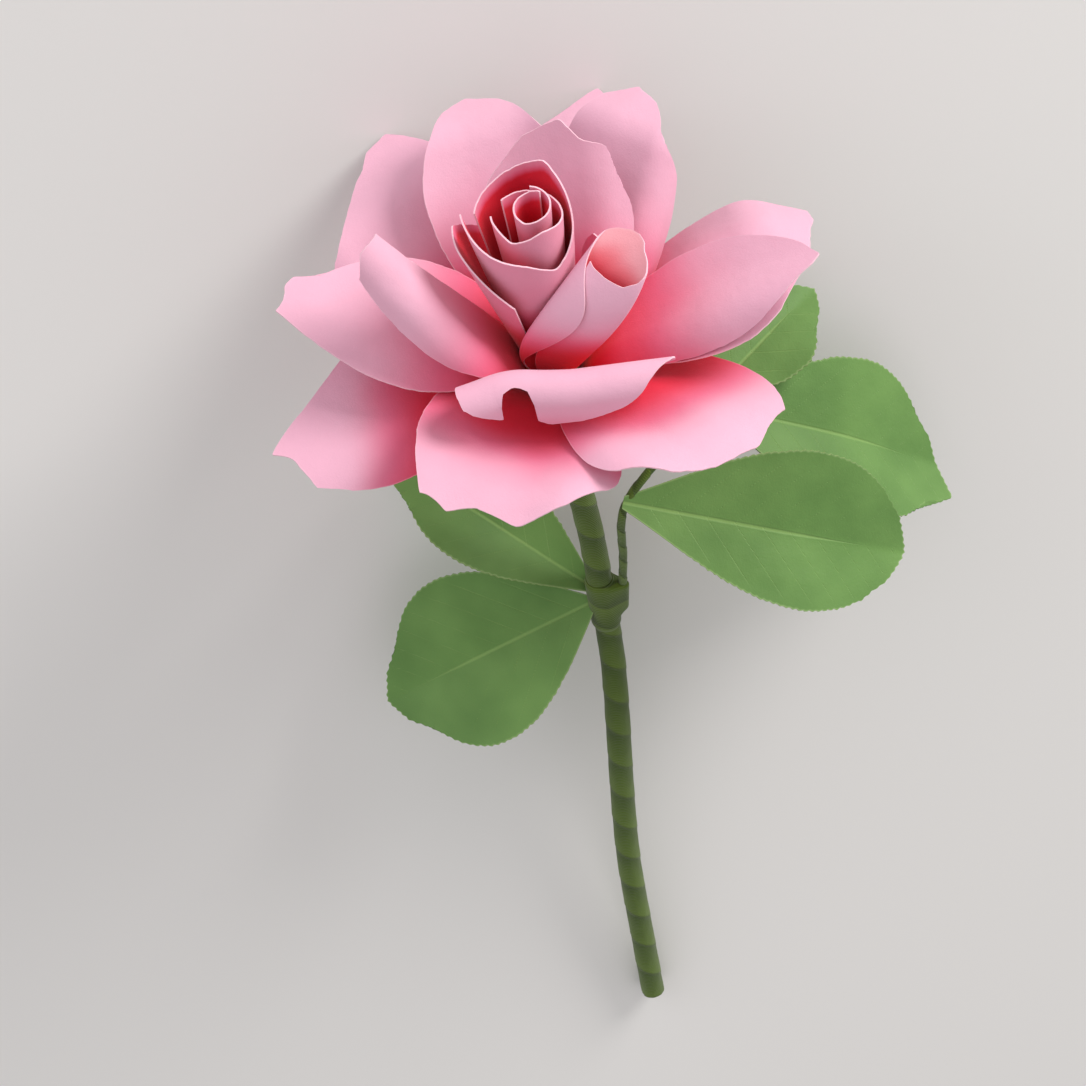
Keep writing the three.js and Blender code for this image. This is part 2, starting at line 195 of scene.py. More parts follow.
def leafMaterial(name, look):
    graph = Graph(name)
    edge = graph.attribute("edge")
    rib = graph.attribute("rib")
    vein = graph.attribute("vein")
    fibre = graph.grain(0.35, 4)
    ribMark = graph.clamp(rib, 0.55, 0.1)
    veinMark = graph.clamp(vein, 0.24, 0.04) * graph.clamp(edge, 0.5, 3)
    colour = graph.mix(graph.clamp(graph.grain(14, 2), -0.9, 0.9), paint(*look["deep"]),
                       paint(*look["pale"]))
    colour = graph.tint(colour, 1 + 0.05 * fibre)
    colour = graph.mix(ribMark * 0.35 + veinMark * 0.16, colour, paint(*look["rib"]))
    colour = graph.mix(graph.clamp(edge, 0.4, 0.0) * 0.4, colour, paint(*look["rim"]))
    relief = 0.02 * fibre + 0.06 * graph.grain(2.5, 2) - 0.12 * ribMark - 0.05 * veinMark
    return graph.finish(colour, 0.6 + 0.08 * fibre, graph.bump(relief), 0.35, 0.1)


# Crepe tape, wound on the slant: each turn overlaps the one below with a small step. A place's
# share of a turn comes as its sine and cosine, which have no seam.
def tapeMaterial(name, look):
    graph = Graph(name)
    turned = graph.math("ARCTAN2", graph.attribute("windSin"), graph.attribute("windCos"))
    step = turned / math.tau + 0.5
    fibre = graph.grain(0.3, 4)
    crease = graph.math("SINE", graph.attribute("along") * 14 + 2 * graph.grain(1.5, 2))
    colour = graph.mix(step * 0.7 + 0.15 + 0.2 * graph.grain(4, 2), paint(*look["deep"]),
                       paint(*look["pale"]))
    colour = graph.tint(colour, 1 + 0.08 * fibre + 0.05 * crease)
    colour = graph.mix(graph.clamp(step, 0.9, 0.99) * 0.5, colour, paint(*look["lap"]))
    relief = 0.25 * step + 0.025 * fibre + 0.03 * crease
    return graph.finish(colour, 0.72 + 0.08 * fibre, graph.bump(relief), 0.3, 0.2)


def plugMaterial(name, look):
    graph = Graph(name)
    layers = graph.node("ShaderNodeTexWave", {"wave_type": "RINGS"}, {
        "Vector": graph.place, "Scale": 900, "Distortion": 2.0, "Detail": 2.0})
    line = Term(graph, layers.outputs["Fac"])
    fibre = graph.grain(0.3, 4)
    colour = graph.tint(graph.mix(line, paint(*look["deep"]), paint(*look["pale"])),
                        1 + 0.04 * fibre)
    return graph.finish(colour, 0.85 + 0.05 * fibre, graph.bump(0.04 * line + 0.02 * fibre))


def wireMaterial(name, look):
    graph = Graph(name)
    scratch = graph.grain(0.2, 4)
    cloud = graph.grain(3, 2)
    colour = graph.tint(graph.mix(graph.clamp(cloud, -0.4, 0.6), paint(*look["deep"]),
                                  paint(*look["pale"])), 1 + 0.06 * scratch)
    made = graph.finish(colour, 0.42 + 0.12 * scratch, graph.bump(0.01 * scratch), 0.5)
    graph.shader.inputs["Metallic"].default_value = 1
    return made


# The cut edge of a card shows its paler middle; on the petals its paleness is also a painted
# highlight where the thin edge catches the light
def edgeMaterial(name, look):
    graph = Graph(name)
    layer = graph.grain(0.25, 3)
    colour = graph.mix(graph.clamp(layer, -0.6, 0.6), paint(*look["deep"]), paint(*look["pale"]))
    return graph.finish(colour, 0.85 + 0.05 * layer, graph.bump(0.02 * layer), 0.2)


petalRim = (238, 204, 216)
# The deep colours are partly the dye at the petals' feet and partly painted shade down between the
# petals and inside the rolls
petalPink = petalMaterial("petalPink", {
    "pale": (227, 172, 194), "middle": (224, 106, 138), "deep": (222, 32, 62), "rim": petalRim})
# The insides of the rolled bud and of the cone are painted a deeper pink than the petals, as shade
rollShadedPink = petalMaterial("rollShadedPink", {
    "pale": (232, 150, 176), "middle": (226, 96, 130), "deep": (216, 20, 48), "rim": petalRim,
    "shadeBelowRim": 3.5})
coneShadedPink = petalMaterial("coneShadedPink", {
    "pale": (240, 164, 174), "middle": (234, 116, 128), "deep": (222, 56, 74), "rim": petalRim,
    "shadeBelowRim": 5})
petalEdge = edgeMaterial("petalEdge", {"pale": (242, 202, 214), "deep": (232, 182, 198)})
leafEdge = edgeMaterial("leafEdge", {"pale": (150, 172, 112), "deep": (112, 140, 78)})
leafGreen = leafMaterial("leafGreen", {
    "pale": (108, 148, 76), "deep": (80, 120, 54), "rib": (150, 185, 105), "rim": (165, 190, 130)})
stemGreen = tapeMaterial("stemGreen", {
    "pale": (88, 112, 28), "deep": (48, 68, 10), "lap": (15, 24, 4)})
plugPaper = plugMaterial("plugPaper", {"pale": (150, 168, 106), "deep": (124, 142, 82)})
wireSteel = wireMaterial("wireSteel", {"pale": (176, 177, 178), "deep": (150, 152, 156)})
print("materials made")


# Rolls the sheet about a line in its plane, as round a dowel. The line passes through x, y at the
# angle axis, what lies to its left is rolled, and a positive turn rolls it up.
def bend(radius, turn, x=0, y=0, axis=0):
    return {"radius": radius, "turn": turn, "x": x, "y": y, "axis": math.radians(axis)}


def roll(p, bent):
    nx = -math.sin(bent["axis"])
    ny = math.cos(bent["axis"])
    reach = (p.x - bent["x"]) * nx + (p.y - bent["y"]) * ny
    if reach <= 0:
        return
    radius = bent["radius"]
    side = math.copysign(1, bent["turn"])
    angle = min(reach / radius, math.radians(abs(bent["turn"])))
    rest = reach - angle * radius
    height = p.z * side
    along = (radius - height) * math.sin(angle) + rest * math.cos(angle)
    rise = radius - (radius - height) * math.cos(angle) + rest * math.sin(angle)
    p.x += nx * (along - reach)
    p.y += ny * (along - reach)
    p.z = side * rise


def bezier(a, b, c, d, t):
    s = 1 - t
    return s * s * s * a + 3 * s * s * t * b + 3 * s * t * t * c + t * t * t * d


def smooth(low, high, value):
    share = min(max((value - low) / (high - low), 0), 1)
    return share * share * (3 - 2 * share)


# Perlin noise in plain numbers, whose grains are about width across
def wander(seed, width, x, y=0.0):
    return noise.noise(Vector((x / width, y / width, 7.3 * seed + 0.37)))


# The tip is a list of corners: place across from -1 to 1, height above the stated length, and how
# far the cut to the next corner is hollowed.
def tipPoint(tip, across):
    spans = len(tip) - 1
    span = min(max(int(across * spans), 0), spans - 1)
    t = across * spans - span
    u0, h0 = tip[span][:2]
    hollow = tip[span][2] if len(tip[span]) > 2 else 0
    u1, h1 = tip[span + 1][:2]
    return u0 + (u1 - u0) * t, h0 + (h1 - h0) * t - 4 * hollow * t * (1 - t)


# The flat outline, its corners eased as scissors leave them and its cut a little uneven
def flatPoint(cut, across, up):
    ease = cut.get("ease", 0.02)
    low, at, high = (tipPoint(cut["tip"], min(max(across + off, 0), 1)) for off in (-ease, 0, ease))
    u = at[0]
    h = (low[1] + 2 * at[1] + high[1]) / 4
    side = cut["left"] if u < 0 else cut["right"]
    halfWidth = bezier(cut["foot"], *side, up)
    seed = cut["seed"]
    shift = cutUneven * (wander(seed, 2.2, u * halfWidth, 50)
                         + 0.6 * wander(seed, 0.8, u * halfWidth, 80))
    saw = cut.get("saw")
    if saw:
        shift += saw[0] * (abs((u * halfWidth / saw[1]) % 1 - 0.5) - 0.25) * 2
    length = cut["length"] + h * up + shift * up ** 6
    trim = cutUneven * (wander(seed, 3, up * length, 20 if u < 0 else 60)
                        + 0.5 * wander(seed, 1, up * length, 90))
    if saw:
        trim += saw[0] * (abs((up * length / saw[1]) % 1 - 0.5) - 0.25) * 2
    rim = abs(u) ** 8 * smooth(0.1, 0.3, up)
    width = max(halfWidth + trim * rim, 0.3)
    return u * width, up * length, (1 - abs(u)) * halfWidth, (1 - up) * length


# Turns a grid drawn in millimetres into a finished sheet of card
def sheetPiece(name, bm, card, finishes):
    for vert in bm.verts:
        vert.co = laying @ (vert.co * millimetre)
    for face in bm.faces:
        face.smooth = True
    flat = bpy.data.meshes.new(name + "_flat")
    bm.to_mesh(flat)
    bm.free()
    for finish in finishes:
        flat.materials.append(finish)
    draft = bpy.data.objects.new(name + "_flat", flat)
    bpy.context.scene.collection.objects.link(draft)
    thicken = draft.modifiers.new("card", "SOLIDIFY")
    thicken.thickness = card * millimetre
    thicken.offset = 0
    thicken.material_offset = 1
    thicken.material_offset_rim = 2
    graph = bpy.context.evaluated_depsgraph_get()
    mesh = bpy.data.meshes.new_from_object(draft.evaluated_get(graph), depsgraph=graph)
    mesh.name = name
    mesh.set_sharp_from_angle(angle=math.radians(50))
    bpy.data.objects.remove(draft)
    bpy.data.meshes.remove(flat)
    piece = bpy.data.objects.new("paper_" + name, mesh)
    bpy.context.scene.collection.objects.link(piece)
    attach(piece, "root")
    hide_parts(name)
    return piece


def grid(columns, rows):
    bm = bmesh.new()
    bmesh.ops.create_grid(bm, x_segments=columns, y_segments=rows, size=0.5)
    return bm


def sheetLayers(bm):
    return {key: bm.verts.layers.float.new(key) for key in ("dyeAndShade", "edge", "rib", "vein")}


# The surface that the tips make: its height at the flower's axis, and how it falls away beyond a
# level middle
dome = {"height": 39, "level": 5, "fall": 0.68}


# How far down inside the flower a place lies, in millimetres below that surface
def sunk(spot):
    return dome["height"] - dome["fall"] * max(spot.xy.length - dome["level"], 0) - spot.z


# The colour goes deeper at a petal's foot, partly as dye and partly as painted shade, and down
# between the petals as painted shade
def colourVert(vert, layers, spot, edge, up, cut):
    foot = cut.get("dyeAndShade", 0) * max(1 - up / cut.get("reach", 1), 0) ** 1.2
    # Painted shade, deeper the further down inside the flower a place lies
    hollow = cut.get("hollow", 0.85) * smooth(4, 20, sunk(spot))
    vert[layers["dyeAndShade"]] = max(foot, hollow, cut.get("dyeAndShadeFloor", 0)) + 0.25 * min(foot, hollow)
    vert[layers["edge"]] = edge


def drawSheet(cut, columns, rows, place):
    bm = grid(columns, rows)
    layers = sheetLayers(bm)
    seed = cut["seed"]
    for vert in bm.verts:
        across = vert.co.x + 0.5
        up = vert.co.y + 0.5
        x, y, sideEdge, tipEdge = flatPoint(cut, across, up)
        edge = min(sideEdge, tipEdge)
        y -= cut.get("heel", 0) * (1 - up) ** 8
        vert[layers["rib"]] = abs(x) + 0.6 * smooth(0.5, 1, up)
        slope = (y - 0.9 * abs(x)) / 5.5
        vert[layers["vein"]] = abs(slope - math.floor(slope) - 0.5) * 5.5
        height = cardWave * wander(seed, 9, x, y) * smooth(0.25, 0.6, up)
        p = Vector((x, y, height))
        for bent in cut["rolls"]:
            roll(p, bent)
        vert.co = place @ p
        colourVert(vert, layers, vert.co, edge, up, cut)
    return bm


petalMesh = {"columns": 18, "rows": 72}  # the columns are for each stretch of the tip


# A petal is cut flat, rolled, and glued by its foot to the plug at its azimuth. The numbers of left
# and right draw each side's half width from the foot to the tip. It rises from level by rise, turns
# about its own length by yaw, and the colour numbers say how deep its colour goes: up from its foot
# over reach, partly as dye and partly as painted shade, down between the petals by hollow, as
# painted shade, and to at least a given floor.
def petal(name, layer, cut):
    cut = {"foot": tabHalfWidth, "lift": 0, **layer, **cut}
    place = (Matrix.Rotation(math.radians(cut["azimuth"] - 90), 4, "Z")
             @ Matrix.Translation((0, petalRing, cut["seat"] + cut["lift"]))
             @ Matrix.Rotation(math.radians(cut["rise"]), 4, "X")
             @ Matrix.Rotation(math.radians(-cut["yaw"]), 4, "Y"))
    columns = (len(cut["tip"]) - 1) * petalMesh["columns"]
    bm = drawSheet(cut, columns, petalMesh["rows"], place)
    return sheetPiece(name, bm, petalCard, (petalPink, petalPink, petalEdge))


outer = {"seat": 0, "rise": 62, "yaw": 8, "dyeAndShade": 1.0, "reach": 0.85}
middle = {"seat": layerRise, "rise": 66, "yaw": 8, "dyeAndShade": 1.0, "reach": 0.8}
inner = {"seat": 2 * layerRise, "rise": 74, "yaw": 8, "dyeAndShade": 1.0, "reach": 0.8}

petal("outer_petal_front_left", outer, {
    "seed": 1, "azimuth": 207.7, "yaw": 21, "lift": -2.2, "length": 42, "left": (8, 17, 14),
    "right": (18, 18, 13),
    "tip": ((-1, -2), (-0.88, 4), (-0.5, 6.5, 0.8), (-0.33, 10.5), (1, -8)),
    "rolls": (bend(14, -35, x=-9, axis=90), bend(22, 10, x=3, axis=-90),
              bend(22, -15, x=-3, axis=90), bend(14, -59.3, y=3))})
petal("outer_petal_front", outer, {
    "seed": 2, "azimuth": 254.8, "yaw": 11, "length": 40, "dyeAndShade": 1.3, "reach": 1,
    "left": (14, 24, 18.5), "right": (19, 20, 10.5),
    "tip": ((-1, -10), (-0.73, -3.5), (-0.32, 2, 2), (0.52, 2.5, 0.8), (1, 1)),
    "rolls": (bend(9, -45, x=-11, axis=90), bend(20, -25, y=30), bend(22, 11, x=3, axis=-90),
              bend(22, 13, x=-3, axis=90), bend(14, -51.3, y=3))})
petal("outer_petal_front_right", outer, {
    "seed": 3, "azimuth": 319, "yaw": 17, "lift": -0.6, "length": 40, "dyeAndShade": 1.25,
    "left": (21, 25, 17), "right": (14, 22, 16.5),
    "tip": ((-1, -1, 0.8), (-0.44, 3.5), (0.16, 3), (0.58, 0.5), (1, -6)),
    "rolls": (bend(10, -40, x=11, axis=-90), bend(16, -25, y=34), bend(22, 8, x=3, axis=-90),
              bend(22, -8, x=-3, axis=90), bend(14, -52.6, y=3))})
petal("outer_petal_right", outer, {
    "seed": 4, "azimuth": 17.6, "yaw": 10, "lift": -0.1, "length": 48, "left": (14, 24, 13),
    "right": (14, 22, 15.5), "tip": ((-1, 0), (-0.85, 4), (-0.5, 4.5), (0.4, 0), (1, -9)),
    "rolls": (bend(12, -35, y=38), bend(22, -7, x=3, axis=-90), bend(22, -17, x=-3, axis=90),
              bend(14, -41.4, y=3))})
petal("outer_petal_back", outer, {
    "seed": 5, "azimuth": 80, "yaw": 13, "lift": -0.7, "length": 56, "left": (14, 20, 9),
    "right": (14, 20, 9), "tip": ((-1, -9), (-0.55, -3), (-0.15, 1), (0.4, -4), (1, -9)),
    "rolls": (bend(14, -30, y=38), bend(22, 30, x=3, axis=-90), bend(22, -8, x=-3, axis=90),
              bend(14, -35.1, y=3))})
petal("outer_petal_back_left", outer, {
    "seed": 6, "azimuth": 132.9, "yaw": 12, "lift": -0.7, "length": 52, "left": (14, 25, 16.5),
    "right": (14, 19, 10),
    "tip": ((-1, -14), (-0.55, -7.5), (-0.18, -2), (0.3, 3), (0.8, 4), (1, 1)),
    "rolls": (bend(14, -30, y=38), bend(10, -40, x=-10, axis=95), bend(22, 2, x=3, axis=-90),
              bend(22, -1, x=-3, axis=90), bend(14, -37.2, y=3))})
print("outer petals made")

petal("middle_petal_left", middle, {
    "seed": 7, "azimuth": 176.4, "yaw": 9, "lift": 2.7, "length": 46, "hollow": 0.4,
    "left": (22, 16, 7), "right": (14, 14, 1.5), "tip": ((-1, 1, 0.5), (-0.3, 0.5), (1, -5)),
    "rolls": (bend(16, -28, x=-4, axis=84), bend(30, 30, x=2, axis=-90),
              bend(22, -6, x=3, axis=-90), bend(22, 11, x=-3, axis=90), bend(14, -43.4, y=3))})
petal("middle_petal_front", middle, {
    "seed": 8, "azimuth": 266, "yaw": 5, "lift": 0.6, "length": 33, "left": (20, 24, 21),
    "right": (12, 17, 15.5),
    "tip": ((-1, -9), (-0.66, -0.5), (-0.37, 2), (-0.05, 3), (0.08, 2.2), (0.11, -2.2),
            (0.18, -4.5), (0.34, -5.3), (0.5, -4.5), (0.57, -2.2), (0.6, 0.7), (0.7, 0.2),
            (0.92, -2.5), (1, -4)),
    "rolls": (bend(3.5, -145, y=22.7), bend(22, -20, x=3, axis=-90), bend(22, 7, x=-3, axis=90),
              bend(14, -13.5, y=3))})
petal("middle_petal_right", middle, {
    "seed": 9, "azimuth": 359.2, "yaw": 11, "lift": -0.7, "length": 49, "hollow": 0.6,
    "left": (10, 18, 6), "right": (12, 15, 3), "tip": ((-1, -2), (-0.3, 1.5), (1, -4)),
    "rolls": (bend(6, -80, x=4, axis=-86), bend(30, 25, x=-3, axis=90),
              bend(22, -12, x=3, axis=-90), bend(22, 7, x=-3, axis=90), bend(14, -42.5, y=3))})
petal("middle_petal_back_right", middle, {
    "seed": 10, "azimuth": 59.5, "yaw": 14, "lift": 0.6, "length": 47, "left": (12, 18, 11.5),
    "right": (20, 20, 7), "tip": ((-1, -1), (-0.56, 3), (-0.13, 1.5), (0.3, -1), (1, -7)),
    "rolls": (bend(8, -40, y=38), bend(6, -80, x=7, axis=-86), bend(22, -67, x=3, axis=-90),
              bend(22, -9, x=-3, axis=90), bend(14, -23.7, y=3))})
petal("middle_petal_back_left", middle, {
    "seed": 11, "azimuth": 107.6, "yaw": 17, "lift": 0.8, "length": 46, "left": (12, 18, 10.5),
    "right": (14, 18, 10.5),
    "tip": ((-1, -5.5), (-0.62, 1.5), (-0.28, 4.5), (0.3, 1.5), (1, -8.5)),
    "rolls": (bend(8, -50, y=38), bend(30, 20, x=4, axis=-90), bend(30, 20, x=-4, axis=90),
              bend(22, 15, x=3, axis=-90), bend(22, 4, x=-3, axis=90), bend(14, -27.5, y=3))})
print("middle petals made")

petal("inner_petal_left", inner, {
    "seed": 12, "azimuth": 192.9, "yaw": 9, "lift": 0.3, "rise": 76, "length": 43, "hollow": 0.5,
    "left": (18, 15, 6), "right": (5, 1.5, 3), "tip": ((-1, -1), (-0.3, 1), (1, -1)),
    "rolls": (bend(4.5, -110, x=-8, y=12, axis=70), bend(22, -7, x=3, axis=-90),
              bend(22, 2, x=-3, axis=90), bend(14, -19.9, y=3))})
petal("inner_petal_right", inner, {
    "seed": 14, "azimuth": 346.3, "lift": 1.1, "length": 26, "dyeAndShadeFloor": 0.5, "left": (8, 12, 7),
    "right": (8, 12, 7), "tip": ((-1, -3), (0, 0), (1, -4)),
    "rolls": (bend(12, 40, axis=-90), bend(12, 40, axis=90), bend(22, 8, x=3, axis=-90),
              bend(22, 8, x=-3, axis=90), bend(14, 4.8, y=3))})
petal("inner_petal_back", inner, {
    "seed": 15, "azimuth": 68.3, "yaw": 1, "lift": 0.2, "length": 38, "left": (14, 18, 11.5),
    "right": (14, 16, 9.5),
    "tip": ((-1, -7), (-0.7, -2), (-0.17, 1.5), (0.2, -1.5), (0.7, -2.5), (1, -9)),
    "rolls": (bend(6, -55, x=6, axis=-84), bend(22, 40, x=-2, axis=90),
              bend(22, 8, x=3, axis=-90), bend(22, 1, x=-3, axis=90), bend(14, -11.4, y=3))})
print("inner petals made")


rimEase = 0.015  # how far the corners of a wound petal's rim are rounded, as a share of the wind


# A wound petal's rim is a list of corners: share of the wind from 0 to 1, and height
def rimHeight(rim, wound):
    for (s0, h0), (s1, h1) in zip(rim, rim[1:]):
        if wound <= s1:
            return h0 + (h1 - h0) * (wound - s0) / (s1 - s0)
    return rim[-1][1]


# A petal wound round the bud, from start on by turn degrees. It flares from the radius of its foot
# to that of its mouth, which grows by spread with each turn, and it leans sideways as it rises.
def wrap(name, columns, bud):
    bm = grid(columns, 56)
    layers = sheetLayers(bm)
    for vert in bm.verts:
        wound = vert.co.x + 0.5
        up = vert.co.y + 0.5
        rim = sum(rimHeight(bud["rim"], min(max(wound + off, 0), 1))
                  for off in (-rimEase, 0, 0, rimEase)) / 4
        arc = math.radians(bud["turn"]) * wound * bud["mouth"]
        rim += 0.12 * wander(bud["seed"], 2, arc) + 0.08 * wander(bud["seed"], 0.7, arc)
        height = up * rim
        angle = math.radians(bud["start"] + bud["turn"] * wound)
        share = height / bud["height"]
        flare = bud["foot"] + (bud["mouth"] - bud["foot"]) * share ** bud.get("curve", 0.8)
        grown = bud["spread"] * bud["turn"] * wound / 360 * (0.35 + 0.65 * share)
        radius = flare + grown
        edge = min(rim - height, arc, math.radians(bud["turn"]) * bud["mouth"] - arc)
        vert.co = Vector((radius * math.cos(angle) + bud["lean"] * height, radius * math.sin(angle),
                          budSeat + height))
        colourVert(vert, layers, vert.co, edge, up, bud)
        # How far below the rim a place lies, which sets the painted shade inside the roll
        vert[layers["rib"]] = rim - height
    return sheetPiece(name, bm, petalCard, (petalPink, rollShadedPink, petalEdge))


# A petal rolled to a leaning cone. Its level sections are ovals that drift and widen as they rise.
# It is wound from the free edge of its front flap round the left, the back and the right, and
# ends under the flap. The lists are the corners of cubic curves from its foot to its mouth.
def cone(name, horn):
    bm = grid(260, 90)
    layers = sheetLayers(bm)
    for vert in bm.verts:
        wound = 0.5 - vert.co.x
        up = vert.co.y + 0.5
        rim = rimHeight(horn["rim"], wound) + 0.15 * wander(horn["seed"], 0.06, wound)
        height = up * rim
        share = height / horn["height"]
        flap = max(bezier(*horn["flap"], share), 0)
        under = max(bezier(*horn["under"], share), 0)
        angle = math.radians(180 + flap - (360 + flap - under) * wound)
        inward = horn["inward"] * wound * smooth(0.1, 0.4, share)
        long = bezier(*horn["long"], share) - inward
        short = bezier(*horn["short"], share) - inward
        turned = Matrix.Rotation(math.radians(bezier(*horn["turned"], share)), 3, "Z")
        spot = turned @ Vector((long * math.cos(angle), short * math.sin(angle), 0))
        spot += Vector((bezier(*horn["x"], share), bezier(*horn["y"], share),
                        inner["seat"] + height))
        colourVert(vert, layers, spot, min(rim - height, wound * 40, 40 - wound * 40), up, horn)
        # How far below the rim a place lies, which sets the painted shade inside the cone
        vert[layers["rib"]] = rim - height
        vert.co = spot
    return sheetPiece(name, bm, petalCard, (petalPink, coneShadedPink, petalEdge))


cone("inner_petal_front_right", {
    "seed": 13, "x": (0.2, -1.5, 4.2, 14.4), "y": (-5.35, -7.9, -16, -6.3),
    "turned": (0, -24, 6, -45), "long": (1.9, 8.5, 8.6, 5.5), "short": (0.6, 0.9, 2.3, 2.6),
    "inward": 0.75, "flap": (-20, 10, 190, 5), "under": (60, 35, 80, 25), "height": 30,
    "rim": ((0, 29.5), (0.03, 30.3), (0.27, 30.8), (0.53, 28.5), (0.78, 26.6), (0.9, 27.5),
            (1, 28)),
    "dyeAndShade": 0.9, "reach": 0.5})

wrap("inner_petal_front_left", 90, {
    "seed": 21, "start": 138, "turn": 105, "foot": 4.9, "mouth": 13.4, "curve": 1, "spread": 0,
    "height": 31, "lean": -0.03, "rim": ((0, 24), (0.3, 30), (0.6, 29), (1, 20)), "dyeAndShade": 1.0,
    "reach": 0.6, "dyeAndShadeFloor": 0.45})
wrap("bud_roll", 220, {
    "seed": 22, "start": 45, "turn": 400, "foot": 1.2, "mouth": 2.6, "spread": 0.8, "height": 34,
    "lean": -0.01, "rim": ((0, 35.5), (0.5, 33), (1, 35.5)), "dyeAndShade": 1.0, "reach": 0.7,
    "dyeAndShadeFloor": 0.3})
wrap("bud_wrap_inner", 200, {
    "seed": 23, "start": 178, "turn": 320, "foot": 3, "mouth": 6.2, "spread": -0.8, "height": 33,
    "lean": -0.03, "rim": ((0, 33), (0.08, 33), (0.18, 31), (0.35, 33.5), (0.55, 32), (1, 33)),
    "dyeAndShade": 1.0, "reach": 0.7, "dyeAndShadeFloor": 0.3})
wrap("bud_wrap_outer", 240, {
    "seed": 24, "start": 178, "turn": 345, "foot": 4.2, "mouth": 9.6, "spread": -1.6,
    "height": 33, "lean": -0.07,
    "rim": ((0, 34.5), (0.14, 30.5), (0.26, 29), (0.36, 25.5), (0.52, 30), (0.68, 37.5),
            (0.86, 34), (1, 32)),
    "dyeAndShade": 1.0, "reach": 0.6, "dyeAndShadeFloor": 0.3})
print("bud made")


# The calyx is a five-pointed star of green card, its centre cut out for the plug. Its points
# droop by a parabola from the drop at its hole.
calyx = {"reach": 17, "drop": 2.8, "droop": 0.018, "band": 2}


def calyxPiece():
    bm = grid(200, 16)
    layers = sheetLayers(bm)
    hole = plugRadius + seam
    for vert in bm.verts:
        angle = math.tau * (vert.co.x + 0.5)
        out = vert.co.y + 0.5
        sepal = abs(math.cos(2.5 * angle)) ** 2.2
        edge = hole + calyx["band"] + (calyx["reach"] - hole - calyx["band"]) * sepal
        radius = hole + (edge - hole) * out
        fromRib = (angle * 2.5 / math.pi + 0.5) % 1 - 0.5
        vert[layers["edge"]] = edge - radius
        vert[layers["rib"]] = abs(fromRib) * radius * 1.2
        vert[layers["vein"]] = 3
        drop = calyx["drop"] + calyx["droop"] * (radius - hole) ** 2
        vert.co = Vector((radius * math.cos(angle), radius * math.sin(angle), -drop))
    bmesh.ops.remove_doubles(bm, verts=bm.verts, dist=0.001)
    return sheetPiece("calyx", bm, leafCard, (leafGreen, leafGreen, leafEdge))


calyxPiece()


# The line through places that a centripetal spline draws, at a share from 0 to 1 of its way
def splinePoint(places, share):
    spans = len(places) - 1
    at = min(int(share * spans), spans - 1)
    t = share * spans - at
    p1, p2 = places[at], places[at + 1]
    p0 = places[at - 1] if at else p1 * 2 - p2
    p3 = places[at + 2] if at + 2 <= spans else p2 * 2 - p1
    d0, d1, d2 = ((b - a).length ** 0.5 for a, b in ((p0, p1), (p1, p2), (p2, p3)))
    m1 = ((p1 - p0) / d0 - (p2 - p0) / (d0 + d1) + (p2 - p1) / d1) * d1
    m2 = ((p2 - p1) / d1 - (p3 - p1) / (d1 + d2) + (p3 - p2) / d2) * d1
    return (p1 + m1 * t + (p2 * 3 - p1 * 3 - m1 * 2 - m2) * t ** 2
            + (p1 * 2 - p2 * 2 + m1 + m2) * t ** 3)


def tapeLayers(bm):
    return {key: bm.verts.layers.float.new(key) for key in ("windSin", "windCos", "along")}


def markTape(vert, layers, wound, along):
    vert[layers["windSin"]] = math.sin(math.tau * (wound - 0.5))
    vert[layers["windCos"]] = math.cos(math.tau * (wound - 0.5))
    vert[layers["along"]] = along


# A taped rod along a spline. With a wall it is a tube, and winding is its turns of tape for each
# millimetre.
def rod(name, taped):
    places = [Vector(place) for place in taped["places"]]
    rings = taped["rings"]
    bm = grid(40, rings)
    layers = tapeLayers(bm)
    line = [splinePoint(places, i / rings) for i in range(rings + 1)]
    lengths = [0.0]
    for a, b in zip(line, line[1:]):
        lengths.append(lengths[-1] + (b - a).length)
    for vert in bm.verts:
        turn = vert.co.x + 0.5
        at = round((vert.co.y + 0.5) * rings)
        centre = line[at]
        ahead = (line[min(at + 1, rings)] - line[max(at - 1, 0)]).normalized()
        side = ahead.cross(Vector((0, 1, 0))).normalized()
        front = ahead.cross(side)
        angle = math.tau * turn
        wound = lengths[at] * taped["winding"] + turn
        uneven = 0.06 * wander(31, 3, lengths[at], 40 * math.sin(angle / 2))
        lap = 0.12 * (wound - math.floor(wound) - 0.5)
        markTape(vert, layers, wound, lengths[at])
        out = side * math.cos(angle) + front * math.sin(angle)
        vert.co = centre + out * (taped["radius"] - 0.1 + uneven + lap)
    return tubePiece(name, bm, taped["wall"])


def tubePiece(name, bm, wall):
    bmesh.ops.remove_doubles(bm, verts=bm.verts, dist=0.001)
    if not wall:
        loose = [edge for edge in bm.edges if edge.is_boundary]
        bmesh.ops.holes_fill(bm, edges=loose, sides=0)
    bmesh.ops.recalc_face_normals(bm, faces=bm.faces)
    for vert in bm.verts:
        vert.co = laying @ (vert.co * millimetre)
    for face in bm.faces:
        face.smooth = True
    mesh = bpy.data.meshes.new(name)
    bm.to_mesh(mesh)
    bm.free()
    mesh.set_sharp_from_angle(angle=math.radians(50))
    mesh.materials.append(stemGreen)
    piece = bpy.data.objects.new("paper_" + name, mesh)
    bpy.context.scene.collection.objects.link(piece)
    if wall:
        thicken = piece.modifiers.new("wall", "SOLIDIFY")
        thicken.thickness = wall * millimetre
        thicken.offset = -1
    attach(piece, "root")
    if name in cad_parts:
        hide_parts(name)
    return piece


